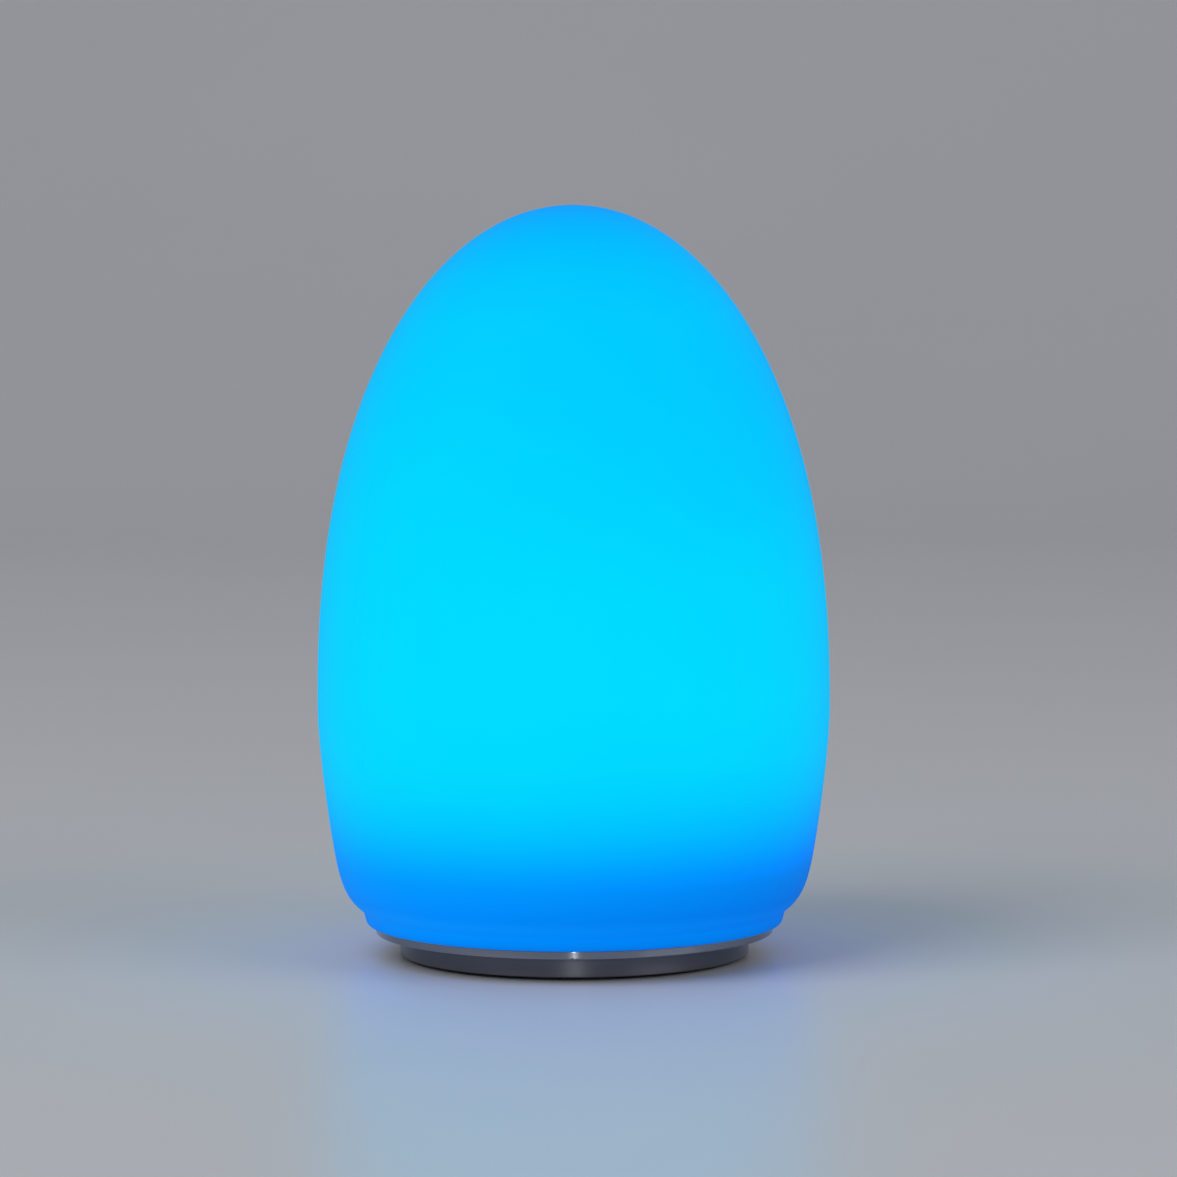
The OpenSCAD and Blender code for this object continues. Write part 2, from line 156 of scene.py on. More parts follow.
def circle(r, n=48):
    return [(r * math.cos(2 * math.pi * k / n), r * math.sin(2 * math.pi * k / n)) for k in range(n)]


def stadium(l, w, n=20):
    """Round-ended outline, l long in Y and w wide in X."""
    s = (l - w) / 2
    top = [(w / 2 * math.cos(math.pi * k / n), s + w / 2 * math.sin(math.pi * k / n)) for k in range(n + 1)]
    return top + [(-x, -y) for x, y in top]


def box_outline(x0, x1, y0, y1, r=0.0, steps=4):
    return rounded([(x0, y0, r), (x1, y0, r), (x1, y1, r), (x0, y1, r)], steps)


def bake_modifiers(ob):
    dg = bpy.context.evaluated_depsgraph_get()
    me = bpy.data.meshes.new_from_object(ob.evaluated_get(dg))
    old = ob.data
    ob.modifiers.clear()
    ob.data = me
    me.name = ob.name
    bpy.data.meshes.remove(old)


def boolean(ob, tools, op):
    """Cuts the tools from ob, or joins them to it, one after another, and removes them."""
    for t in tools:
        m = ob.modifiers.new("b", "BOOLEAN")
        m.operation = op
        m.solver = "EXACT"
        m.object = t
        bpy.context.view_layer.update()
        bake_modifiers(ob)
    for t in tools:
        me = t.data
        bpy.data.objects.remove(t)
        bpy.data.meshes.remove(me)
    return ob


def bevel(ob, width=0.12, segments=2, angle=38, smooth=38):
    m = ob.modifiers.new("bevel", "BEVEL")
    m.width = width * MM
    m.segments = segments
    m.limit_method = "ANGLE"
    m.angle_limit = math.radians(angle)
    m.use_clamp_overlap = True
    m.harden_normals = False
    bpy.context.view_layer.update()
    bake_modifiers(ob)
    return finish_normals(ob, smooth)


def finish_normals(ob, smooth=38):
    """Clean mesh, many-cornered faces split, and each corner's normal led by the largest flat area that meets it,
    so that flats stay flat and only the rounded edges turn."""
    tidy(ob)
    ngon_split(ob)
    shade(ob, smooth)
    bm = bmesh.new()
    bm.from_mesh(ob.data)
    bm.faces.ensure_lookup_table()
    bm.normal_update()
    patch, area, norm = [-1] * len(bm.faces), [], []
    flat = math.cos(math.radians(0.4))
    for seed in bm.faces:
        if patch[seed.index] >= 0:
            continue
        me, todo, size = len(area), [seed], 0.0
        patch[seed.index] = me
        while todo:
            f = todo.pop()
            size += f.calc_area()
            for e in f.edges:
                for g in e.link_faces:
                    if patch[g.index] < 0 and g.normal.dot(seed.normal) > flat:
                        patch[g.index] = me
                        todo.append(g)
        area.append(size)
        norm.append(seed.normal.copy())
    normals = [None] * sum(len(f.verts) for f in bm.faces)
    start, n = [0] * len(bm.faces), 0
    for f in bm.faces:
        start[f.index] = n
        n += len(f.verts)
    for v in bm.verts:
        left = set(v.link_faces)
        while left:
            group, todo = [], [left.pop()]
            while todo:
                f = todo.pop()
                group.append(f)
                for e in f.edges:
                    if e.smooth and v in e.verts:
                        for g in e.link_faces:
                            if g in left:
                                left.discard(g)
                                todo.append(g)
            total = Vector((0, 0, 0))
            for p in {patch[f.index] for f in group}:
                total += norm[p] * (area[p] * 1e6) ** 1.5
            total = total.normalized() if total.length > 0 else group[0].normal
            for f in group:
                k = [w for w in f.verts].index(v)
                normals[start[f.index] + k] = tuple(total)
    bm.free()
    ob.data.normals_split_custom_set(normals)
    return ob


def tidy(ob):
    bm = bmesh.new()
    bm.from_mesh(ob.data)
    bmesh.ops.remove_doubles(bm, verts=bm.verts, dist=2e-7)
    bmesh.ops.dissolve_degenerate(bm, dist=1e-7, edges=bm.edges)
    bmesh.ops.recalc_face_normals(bm, faces=bm.faces)
    bm.to_mesh(ob.data)
    bm.free()


def join(name, obs):
    """One object from several, with their meshes as they are."""
    bm = bmesh.new()
    for o in obs:
        bm.from_mesh(o.data)
    me = bpy.data.meshes.new(name)
    bm.to_mesh(me)
    bm.free()
    ob = bpy.data.objects.new(name, me)
    bpy.context.scene.collection.objects.link(ob)
    for o in obs:
        old = o.data
        bpy.data.objects.remove(o)
        bpy.data.meshes.remove(old)
    return ob


def ngon_split(ob):
    """Turns faces of many corners into triangles, so that no viewer fills them wrongly."""
    bm = bmesh.new()
    bm.from_mesh(ob.data)
    big = [f for f in bm.faces if len(f.verts) > 6]
    if big:
        bmesh.ops.triangulate(bm, faces=big)
    bm.to_mesh(ob.data)
    bm.free()


# ------------------------------------------------------------------ material helpers
class Nodes:
    def __init__(self, name):
        self.mat = bpy.data.materials.new(name)
        self.mat.use_nodes = True
        self.t = self.mat.node_tree
        self.t.nodes.clear()
        self.out = self.t.nodes.new("ShaderNodeOutputMaterial")
        self.p = self.t.nodes.new("ShaderNodeBsdfPrincipled")
        self.t.links.new(self.p.outputs[0], self.out.inputs["Surface"])
        self.co = self.t.nodes.new("ShaderNodeTexCoord").outputs["Object"]

    def set(self, **kw):
        for k, v in kw.items():
            self.p.inputs[k.replace("_", " ")].default_value = v
        return self

    def link(self, a, b):
        self.t.links.new(a, b)

    def scaled(self, sx, sy, sz):
        m = self.t.nodes.new("ShaderNodeMapping")
        m.inputs["Scale"].default_value = (sx, sy, sz)
        self.link(self.co, m.inputs["Vector"])
        return m.outputs[0]

    def noise(self, scale, detail=3.0, rough=0.5, vec=None, distortion=0.0):
        n = self.t.nodes.new("ShaderNodeTexNoise")
        n.inputs["Scale"].default_value = scale
        n.inputs["Detail"].default_value = detail
        n.inputs["Roughness"].default_value = rough
        n.inputs["Distortion"].default_value = distortion
        self.link(vec or self.co, n.inputs["Vector"])
        return n.outputs["Fac"]

    def voronoi(self, scale, vec=None, out="Distance", feature="F1"):
        n = self.t.nodes.new("ShaderNodeTexVoronoi")
        n.feature = feature
        n.inputs["Scale"].default_value = scale
        self.link(vec or self.co, n.inputs["Vector"])
        return n.outputs[out]

    def range(self, value, a, b, c, d, smooth=False):
        n = self.t.nodes.new("ShaderNodeMapRange")
        if smooth:
            n.interpolation_type = "SMOOTHSTEP"
        for i, v in enumerate((a, b, c, d)):
            n.inputs[i + 1].default_value = v
        self.link(value, n.inputs[0])
        return n.outputs[0]

    def math(self, op, a, b=None, c=None):
        n = self.t.nodes.new("ShaderNodeMath")
        n.operation = op
        for i, v in enumerate((a, b, c)):
            if v is None:
                continue
            if isinstance(v, (int, float)):
                n.inputs[i].default_value = v
            else:
                self.link(v, n.inputs[i])
        return n.outputs[0]

    def ramp(self, value, stops, mode="LINEAR"):
        n = self.t.nodes.new("ShaderNodeValToRGB")
        n.color_ramp.interpolation = mode
        el = n.color_ramp.elements
        while len(el) > 1:
            el.remove(el[-1])
        el[0].position = stops[0][0]
        el[0].color = (*stops[0][1], 1)
        for pos, col in stops[1:]:
            e = el.new(pos)
            e.color = (*col, 1)
        self.link(value, n.inputs[0])
        return n.outputs[0]

    def mix(self, fac, a, b, kind="MIX"):
        n = self.t.nodes.new("ShaderNodeMix")
        n.data_type = "RGBA"
        n.blend_type = kind
        for sock, v in ((n.inputs[0], fac), (n.inputs[6], a), (n.inputs[7], b)):
            if isinstance(v, (int, float)):
                sock.default_value = v
            elif isinstance(v, (tuple, list)):
                sock.default_value = (*v, 1)
            else:
                self.link(v, sock)
        return n.outputs[2]

    def split(self):
        n = self.t.nodes.new("ShaderNodeSeparateXYZ")
        self.link(self.co, n.inputs[0])
        return n.outputs

    def merge(self, x, y, z):
        n = self.t.nodes.new("ShaderNodeCombineXYZ")
        for i, v in enumerate((x, y, z)):
            if isinstance(v, (int, float)):
                n.inputs[i].default_value = v
            else:
                self.link(v, n.inputs[i])
        return n.outputs[0]

    def bump(self, height, strength=0.2, distance=0.0002):
        n = self.t.nodes.new("ShaderNodeBump")
        n.inputs["Strength"].default_value = strength
        n.inputs["Distance"].default_value = distance
        self.link(height, n.inputs["Height"])
        self.link(n.outputs[0], self.p.inputs["Normal"])
        return self

    def colour(self, sock):
        self.link(sock, self.p.inputs["Base Color"])
        return self

    def rough(self, sock):
        self.link(sock, self.p.inputs["Roughness"])
        return self


def tone(c, k):
    return tuple(min(1.0, v * k) for v in c)


def moulded(name, col, rough=(0.36, 0.48), grain=2600, depth=0.00002, strength=0.25, vary=0.06, spec=0.5, mottle=55):
    """Moulded plastic: a fine spark-eroded grain, a faint mottle and slightly uneven gloss."""
    m = Nodes(name)
    big = m.noise(mottle, 4, 0.6)
    fine = m.noise(grain, 2, 0.6)
    m.colour(m.ramp(big, [(0.3, tone(col, 1 - vary)), (0.7, tone(col, 1 + vary))]))
    m.rough(m.range(m.math("ADD", m.math("MULTIPLY", big, 0.5), m.math("MULTIPLY", fine, 0.5)), 0.3, 0.7, *rough))
    m.bump(fine, strength, depth)
    m.set(Specular_IOR_Level=spec)
    return m.mat


def opal_glass():
    """Frosted opal glass lit from inside: cyan over the diodes' reach, falling to deep blue at the neck."""
    m = Nodes("opal_glass_lit")
    x, y, z = m.split()
    up = m.range(z, 0.0, 0.150, 0.0, 1.0)
    # Painted light: the two glow ramps, mixed by object x, make the left (-x) side of the glass glow brighter than the
    # right, as the light inside falls more on one side; the side difference is fixed to the glass.
    left = [(6.4, 0.166, 0.747), (7.4, 0.222, 0.848), (8.6, 0.250, 0.884), (9.6, 0.258, 0.892), (11, 0.270, 0.924), (13, 0.241, 0.870), (16, 0.267,
           0.905), (19, 0.289, 0.907), (22, 0.352, 1.000), (26, 0.444, 1.000), (30, 0.528, 1.000), (36, 0.610, 1.000), (43, 0.651, 1.000), (55, 0.657,
           1.000), (75, 0.649, 1.000), (95, 0.634, 1.000), (115, 0.602, 1.000), (128, 0.577, 1.000), (137, 0.535, 1.000), (143, 0.478, 1.000), (147,
           0.427, 1.000), (150, 0.380, 1.000)]
    right = [(6.4, 0.116, 0.544), (7.4, 0.155, 0.655), (8.6, 0.167, 0.704), (9.6, 0.164, 0.722), (11, 0.170, 0.719), (13, 0.146, 0.666), (16, 0.168,
            0.700), (19, 0.192, 0.751), (22, 0.238, 1.000), (26, 0.333, 1.000), (30, 0.421, 1.000), (36, 0.526, 1.000), (43, 0.599, 1.000), (55,
            0.634, 1.000), (75, 0.616, 1.000), (95, 0.549, 1.000), (115, 0.509, 1.000), (128, 0.511, 1.000), (137, 0.485, 1.000), (143, 0.460, 1.000),
            (147, 0.418, 1.000), (150, 0.380, 1.000)]
    a = m.ramp(up, [(h / 150, (0.0, g, b)) for h, g, b in left])
    c = m.ramp(up, [(h / 150, (0.0, g, b)) for h, g, b in right])
    side = m.range(x, -0.051, 0.051, 0.0, 1.0)
    glow = m.mix(side, a, c)
    cloud = m.noise(34, 4, 0.55)
    glow = m.mix(m.range(cloud, 0.3, 0.7, 0.0, 1.0), glow, m.mix(1.0, glow, (1.0, 0.965, 0.99), "MULTIPLY"))
    m.link(glow, m.p.inputs["Emission Color"])
    m.set(Emission_Strength=1.1)
    # Painted light: the surface colour is a dark cyan-blue, the tint of the glass's own glow, where the opal glass
    # itself is white.
    m.colour(m.ramp(cloud, [(0.3, (0.0, 0.045, 0.12)), (0.7, (0.0, 0.055, 0.14))]))
    m.rough(m.range(m.noise(900, 3, 0.6), 0.3, 0.7, 0.5, 0.58))
    m.bump(m.noise(2400, 2, 0.5), 0.12, 0.00002)
    m.set(Specular_IOR_Level=0.05, Specular_Tint=(0.1, 0.45, 1.0, 1), Sheen_Weight=0.56, Sheen_Roughness=0.5, Sheen_Tint=(0.0, 0.2, 1.0, 1))
    return m.mat


def turned(name, base, rough, grip, metal=1.0, spec=0.5, pitch=9000, depth=0.08):
    """Metal or metallised finish with fine rings round the axis, so that a light draws an upright streak on it."""
    m = Nodes(name)
    x, y, z = m.split()
    rad = m.math("SQRT", m.math("ADD", m.math("MULTIPLY", x, x), m.math("MULTIPLY", y, y)))
    lines = m.noise(1.0, 3, 0.7, vec=m.merge(m.math("MULTIPLY", rad, pitch), m.math("MULTIPLY", z, pitch), 0.0))
    long = m.noise(40, 3, 0.5)
    m.colour(m.ramp(m.math("ADD", m.math("MULTIPLY", lines, 0.6), m.math("MULTIPLY", long, 0.4)), [(0.3, tone(base, 0.9)), (0.7, tone(base, 1.08))]))
    m.rough(m.range(lines, 0.3, 0.7, *rough))
    m.bump(lines, depth, 0.00001)
    tan = m.t.nodes.new("ShaderNodeTangent")
    tan.direction_type = "RADIAL"
    tan.axis = "Z"
    m.link(tan.outputs[0], m.p.inputs["Tangent"])
    m.set(Metallic=metal, Anisotropic=grip, Anisotropic_Rotation=0.25, Specular_IOR_Level=spec)
    return m.mat


def plated(name, base, rough=(0.22, 0.34)):
    """Small plated or machined metal: cloudy zinc or nickel with fine handling marks."""
    m = Nodes(name)
    a, b = m.noise(260, 3, 0.6), m.noise(2200, 2, 0.6)
    m.colour(m.ramp(a, [(0.3, tone(base, 0.88)), (0.7, tone(base, 1.06))]))
    m.rough(m.range(m.math("ADD", m.math("MULTIPLY", a, 0.5), m.math("MULTIPLY", b, 0.5)), 0.35, 0.65, *rough))
    m.bump(b, 0.08, 0.00001)
    m.set(Metallic=1.0)
    return m.mat


def rubber(name, col, rough=(0.62, 0.78)):
    m = Nodes(name)
    a, b = m.noise(300, 3, 0.6), m.voronoi(3200)
    m.colour(m.ramp(a, [(0.3, tone(col, 0.85)), (0.7, tone(col, 1.2))]))
    m.rough(m.range(a, 0.3, 0.7, *rough))
    m.bump(b, 0.25, 0.00003)
    m.set(Specular_IOR_Level=0.35)
    return m.mat


def solder_mask(name, col, trace, across=1.0):
    """Circuit board: solder mask over raised copper tracks."""
    m = Nodes(name)
    cells = m.voronoi(420 * across, out="Distance", feature="DISTANCE_TO_EDGE")
    track = m.range(cells, 0.03, 0.07, 1.0, 0.0)
    big = m.noise(120, 3, 0.5)
    m.colour(m.mix(track, m.ramp(big, [(0.3, tone(col, 0.92)), (0.7, tone(col, 1.08))]), trace))
    m.rough(m.range(big, 0.3, 0.7, 0.28, 0.4))
    m.bump(track, 0.4, 0.00003)
    return m.mat


MAT = {
    "glass": opal_glass(),
    "steel": turned("turned_steel", (0.29, 0.295, 0.32), (0.16, 0.22), 1.0),
    "foot": turned("satin_silver_foot", (0.165, 0.17, 0.192), (0.36, 0.42), 0.8, metal=0.8, pitch=5000, depth=0.05),
    "cover": moulded("textured_grey_plastic", (0.30, 0.305, 0.32), rough=(0.5, 0.62), grain=1500, depth=0.00004, strength=0.5),
    "button": moulded("button_plastic", (0.55, 0.56, 0.58), rough=(0.24, 0.32), grain=2400, depth=0.00001, strength=0.15, vary=0.03),
    "door": moulded("door_plastic", (0.22, 0.225, 0.24), rough=(0.46, 0.58), grain=1600, depth=0.00004, strength=0.45),
    "black": moulded("black_plastic", (0.022, 0.022, 0.025), rough=(0.38, 0.5), grain=1800, strength=0.3),
    "clear": moulded("light_pipe_plastic", (0.75, 0.80, 0.83), rough=(0.08, 0.16), grain=900, depth=0.00001, strength=0.1, vary=0.03),
    "rubber": rubber("black_rubber", (0.02, 0.02, 0.022)),
    "silicone": rubber("pale_silicone", (0.62, 0.65, 0.67), rough=(0.4, 0.5)),
    "screw": plated("zinc_screw", (0.62, 0.62, 0.60)),
    "nickel": plated("nickel_shell", (0.66, 0.65, 0.62), rough=(0.18, 0.28)),
    "green": solder_mask("green_board", (0.012, 0.13, 0.05), (0.03, 0.22, 0.09)),
    "white": solder_mask("white_board", (0.80, 0.80, 0.78), (0.70, 0.70, 0.68), 0.6),
    "chip": moulded("chip_black", (0.018, 0.018, 0.02), rough=(0.42, 0.55), grain=3500, strength=0.35),
    "tan": moulded("ceramic_tan", (0.30, 0.22, 0.14), rough=(0.4, 0.55), grain=3000),
    "can": plated("drawn_aluminium", (0.72, 0.73, 0.74), rough=(0.2, 0.32)),
    "ferrite": moulded("ferrite", (0.05, 0.05, 0.055), rough=(0.55, 0.7), grain=2200, depth=0.00005, strength=0.6),
    "ivory": moulded("ivory_nylon", (0.70, 0.66, 0.55), rough=(0.35, 0.48), grain=2000),
    "wrap": moulded("cell_wrap", (0.03, 0.12, 0.42), rough=(0.16, 0.28), grain=700, depth=0.00004, strength=0.3, mottle=140),
    "red": moulded("red_insulation", (0.50, 0.02, 0.015), rough=(0.3, 0.42), grain=2500),
    "dark": moulded("black_insulation", (0.02, 0.02, 0.02), rough=(0.3, 0.42), grain=2500),
    "pale": moulded("white_insulation", (0.72, 0.72, 0.69), rough=(0.3, 0.42), grain=2500),
    "diode": moulded("diode_package", (0.82, 0.80, 0.62), rough=(0.25, 0.4), grain=2500),
    "receiver": moulded("receiver_epoxy", (0.03, 0.008, 0.016), rough=(0.12, 0.2), grain=600, strength=0.1),
}


def dress(ob, body, mat, nodes=()):
    ngon_split(ob)
    ob.data.materials.clear()
    ob.data.materials.append(MAT[mat])
    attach(ob, body)
    if nodes:
        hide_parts(*nodes)
    return ob


def cad(node, mat, edge=0.0):
    """Keeps a CAD node, with a material and, where edge is given, softened edges."""
    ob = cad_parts[node]
    for s in ob.material_slots:
        s.material = MAT[mat]
    if edge:
        b = ob.modifiers.new("edge", "BEVEL")
        b.width = edge * MM
        b.segments = 2
        b.limit_method = "ANGLE"
        b.angle_limit = math.radians(40)
    return ob


# ------------------------------------------------------------------ camera
cam = bpy.data.objects.new("camera", bpy.data.cameras.new("camera"))
bpy.context.scene.collection.objects.link(cam)
cam.location = (0.0030, -1.0934, 0.1663)
cam.rotation_euler = (Matrix.Rotation(math.radians(90 - 4.845), 3, "X") @ Matrix.Rotation(math.radians(-0.15), 3, "Z")).to_euler()
cam.data.sensor_width = 36.0
cam.data.lens = 168.2
cam.data.clip_start = 0.01
cam.data.clip_end = 50
bpy.context.scene.camera = cam


# ------------------------------------------------------------------ shade
def egg_out(kind, t):
    """Point and outward normal on the egg: kind "up" takes 0 to 1 from the widest level to the tip, "low" 0 to 1 down to the neck."""
    if kind == "up":
        if t >= 1:
            return (0.0, LAMP_H), (0.0, 1.0)
        a = math.pi / 2 * t
        s, c = max(math.sin(a), 1e-4), math.cos(a)
        p = (EGG_R * c ** (2 / UP_Q), WIDE_Z + (LAMP_H - WIDE_Z) * math.sin(a) ** (2 / UP_P))
        dr = -EGG_R * 2 / UP_Q * c ** (2 / UP_Q - 1) * s
        dz = (LAMP_H - WIDE_Z) * 2 / UP_P * s ** (2 / UP_P - 1) * c
        k = math.hypot(dr, dz)
        return p, (dz / k, -dr / k)
    p = (EGG_R * (1 - LOW_A * t ** 1.5 - LOW_B * t ** LOW_N), WIDE_Z - (WIDE_Z - NECK_Z) * t)
    g = EGG_R * (1.5 * LOW_A * t ** 0.5 + LOW_N * LOW_B * t ** (LOW_N - 1)) / (WIDE_Z - NECK_Z)
    k = math.hypot(1, g)
    return p, (1 / k, -g / k)


def spaced(pts, gap):
    """Drops points until neighbours are about gap apart, ends kept."""
    out = [pts[0]]
    for p in pts[1:-1]:
        if math.hypot(p[0] - out[-1][0], p[1] - out[-1][1]) >= gap:
            out.append(p)
    out.append(pts[-1])
    return out


N = 2000
low = [egg_out("low", V_END * k / N)[0] for k in range(N, 0, -1)]
upper = [egg_out("up", k / N)[0] for k in range(0, N + 1)]
inner_up = []
for k in range(N, -1, -1):
    (r, z), (nr, nz) = egg_out("up", k / N)
    inner_up.append((max(0.0, r - GLASS_T * nr), z - GLASS_T * nz))
inner_low = []
for k in range(1, N + 1):
    (r, z), (nr, nz) = egg_out("low", k / N)
    inner_low.append((r - GLASS_T * nr, z - GLASS_T * nz))
lip = rounded([(LIP_IN, RING_TOP, 0.5), (LIP_R + 0.02, RING_TOP, LIP_ROUND), (low[0][0], low[0][1], 0.55), low[60], (40, 30)], 8)
lip = [p for p in lip if p[1] < low[60][1] - 0.01 or p[0] < 39.5]
lip_out = [p for p in lip if p[1] < low[60][1] - 0.01 and p[1] < 20]
outer = spaced(low[60:] + upper, 1.1)
inner = spaced(inner_up + inner_low, 1.8)
profile = lip_out + outer + inner + [(LIP_IN + 0.08, 10.6), (LIP_IN, 10.2)]
glass = lathe("glass_shade_body", profile, n=160, smooth=50)
dress(glass, "lamp", "glass", ["glass_shade"])

# ------------------------------------------------------------------ trim ring, with its notches for the housing's lugs
ring = lathe("trim_ring_body", rounded([
    (TUB_R + 0.2, RING_Z, 0.1), (RING_R, RING_Z, 0.28), (RING_R, RING_TOP, 0.28), (37.4, RING_TOP, 0.15), (37.4, RING_TOP + COLLAR_H, 0.3),
    (36.2, RING_TOP + COLLAR_H, 0.3), (36.2, RING_TOP, 0.3), (TUB_R + 0.2, RING_TOP, 0.1)], 5), n=192)
cuts = []
for a in (60, 180, 300):
    t = prism("cut", box_outline(TUB_R - 1, TUB_R + 1.4, -4, 4, 0.4), RING_Z - 1, RING_TOP + 0.8)
    t.rotation_euler = (0, 0, math.radians(a))
    cuts.append(t)
boolean(ring, cuts, "DIFFERENCE")
finish_normals(ring)
dress(ring, "lamp", "steel", ["trim_ring"])

# ------------------------------------------------------------------ base housing
house = lathe("base_housing_body", rounded([
    (FOOT_R, FOOT_GAP, FOOT_ROUND), (FOOT_R, RING_Z, 0.2), (TUB_R, RING_Z, 0.12), (TUB_R, DECK_Z, 0.9), (0, DECK_Z), (0, DECK_Z - DECK_T),
    (TUB_R - TUB_T, DECK_Z - DECK_T, 0.4), (TUB_R - TUB_T, COVER_TOP + 0.6, 0.12), (COVER_R + 0.25, COVER_TOP + 0.6, 0.12),
    (COVER_R + 0.25, FOOT_GAP, 0.3)], 6), n=192)
adds, cuts = [], []
for a in range(0, 360, 90):
    x, y = SCREW_R * math.cos(math.radians(a)), SCREW_R * math.sin(math.radians(a))
    adds.append(prism("add", circle(3.2), COVER_TOP, DECK_Z - DECK_T + 0.5, at=(x, y)))
    cuts.append(prism("cut", circle(1.2, 32), COVER_TOP - 1, COVER_TOP + 5.8, at=(x, y)))
for a in (90, 210, 330):
    x, y = 25 * math.cos(math.radians(a)), 25 * math.sin(math.radians(a))
    adds.append(prism("add", circle(2.5, 40), 18, DECK_Z - 1, at=(x, y)))
    cuts.append(prism("cut", circle(1.2, 32), 18.6, DECK_Z + 1, at=(x, y)))
for a in (0, 120, 240):
    t = prism("add", box_outline(TUB_R - 1, TUB_R + 1.2, -3, 3, 0.3), RING_TOP, RING_TOP + 1.6)
    t.rotation_euler = (0, 0, math.radians(a))
    adds.append(t)
for x in (-15, 15):
    for y in (-1, 21):
        cuts.append(prism("cut", circle(0.9, 24), DECK_Z - DECK_T - 1, DECK_Z - 0.4, at=(x, y)))
cuts.append(prism("cut", circle(3.2), DECK_Z - DECK_T - 1, DECK_Z + 1, at=(0, -10)))
boolean(house, adds, "UNION")
boolean(house, cuts, "DIFFERENCE")
finish_normals(house)
dress(house, "lamp", "foot", ["base_housing"])

# ------------------------------------------------------------------ bottom cover
cover = lathe("bottom_cover_body", rounded([(0, COVER_Z), (COVER_R, COVER_Z, 0.35), (COVER_R, COVER_TOP, 0.12), (0, COVER_TOP)], 4), n=160)
adds = [prism("add", circle(2.2, 40), COVER_TOP - 0.5, BOARD_Z, at=p) for p in POSTS]
adds.append(prism("add", box_outline(2.5, 16.4, PORT_Y - 7.9, PORT_Y + 7.9, 0.6), COVER_TOP - 0.5, COVER_TOP + 1))
cuts = [prism("cut", circle(0.8, 24), COVER_TOP + 0.8, BOARD_Z + 1, at=p) for p in POSTS]
for a in range(0, 360, 90):
    x, y = SCREW_R * math.cos(math.radians(a)), SCREW_R * math.sin(math.radians(a))
    cuts.append(lathe("cut", [(0, 0), (2.6, 0), (2.6, COVER_Z + 1.3), (1.4, COVER_Z + 1.3), (1.4, 8), (0, 8)], n=48, at=(x, y)))
for a in range(45, 360, 90):
    x, y = FEET_R * math.cos(math.radians(a)), FEET_R * math.sin(math.radians(a))
    cuts.append(prism("cut", circle(PAD_R + 0.1, 56), 0, COVER_Z + 0.8, at=(x, y)))
dish = [(0, 0), (8.9, 0), (8.9, COVER_Z - 0.005)]
dish += [(8.6 - 3.4 * k / 8, COVER_Z + 0.9 * math.sin(math.pi / 2 * k / 8) ** 1.3) for k in range(1, 9)] + [(0, COVER_Z + 0.9)]
cuts.append(lathe("cut", [(0, 0), (8.6, 0)] + [(8.6 - 3.4 * k / 8, COVER_Z + 0.9 * math.sin(math.pi / 2 * k / 8) ** 1.3) for k in range(0, 9)]
                  + [(BTN_R + 0.3, COVER_Z + 0.9), (BTN_R + 0.3, 6), (0, 6)], n=72, at=(BTN_X, BTN_Y)))
cuts.append(prism("cut", box_outline(3.2, 14.6, PORT_Y - DOOR_W / 2 - 0.3, PORT_Y + DOOR_W / 2 + 0.3, 0.5), 0, COVER_Z + 1.5))
cuts.append(prism("cut", box_outline(HINGE_X - 1.2, 14.6, PORT_Y - DOOR_W / 2 - 0.3, PORT_Y + DOOR_W / 2 + 0.3, 0.2), 0, COVER_Z + 2.1))
t = prism("cut", circle(0.4, 24), -DOOR_W / 2 - 1.2, DOOR_W / 2 + 1.2)
t.rotation_euler = (math.radians(-90), 0, 0)
t.location = (HINGE_X * MM, PORT_Y * MM, HINGE_Z * MM)
cuts.append(t)
cuts.append(prism("cut", stadium(9.4, 3.7), 0, 8, at=(PORT_X, PORT_Y)))
cuts.append(prism("cut", circle(1.25, 32), 0, 6, at=(0, -20.2)))
boolean(cover, adds, "UNION")
boolean(cover, cuts, "DIFFERENCE")
bevel(cover, 0.09, 2)
dress(cover, "lamp", "cover", ["bottom_cover"])


# ------------------------------------------------------------------ screws
def screw(x, y, head_z, head_r, head_h, shaft_r, tip_z, up, arm, deep, turn=0.0):
    """Pan-head cross-recess screw, its head's seat at head_z. up is +1 for a head above its seat, -1 below."""
    dome = [(head_r, 0.0)] + [(head_r * math.cos(math.pi / 2 * k / 7) ** 0.55 if k < 7 else 0.0,
                               head_h * (0.35 + 0.65 * math.sin(math.pi / 2 * k / 7))) for k in range(0, 8)]
    tip = abs(head_z - tip_z)
    prof = [(r, head_z + up * h) for r, h in dome] + [(0, head_z - up * tip), (shaft_r * 0.6, head_z - up * tip),
                                                     (shaft_r, head_z - up * (tip - 0.5)), (shaft_r, head_z)]
    s = lathe("screw", prof, n=40, at=(0, 0))
    tools = []
    for k in (0, 90):
        top = head_z + up * (head_h + 0.3)
        bot = head_z + up * (head_h - deep)
        c = prism("cut", box_outline(-arm, arm, -0.2 * arm / 1.2, 0.2 * arm / 1.2, 0.05, 2), min(top, bot), max(top, bot))
        c.rotation_euler = (0, 0, math.radians(k))
        tools.append(c)
    boolean(s, tools, "DIFFERENCE")
    bevel(s, 0.05, 1)
    a = math.radians(turn)
    for v in s.data.vertices:
        vx, vy = v.co.x, v.co.y
        v.co.x = vx * math.cos(a) - vy * math.sin(a) + x * MM
        v.co.y = vx * math.sin(a) + vy * math.cos(a) + y * MM
    return s


screws = [screw(SCREW_R * math.cos(math.radians(a)), SCREW_R * math.sin(math.radians(a)), COVER_Z + 1.3, 2.3, 0.95, 1.2, COVER_Z + 7.5, -1, 1.2, 0.5, t)
          for a, t in ((0, 12), (90, 40), (180, 71), (270, 25))]
dress(join("cover_screw_set", screws), "lamp", "screw", ["cover_screws"])

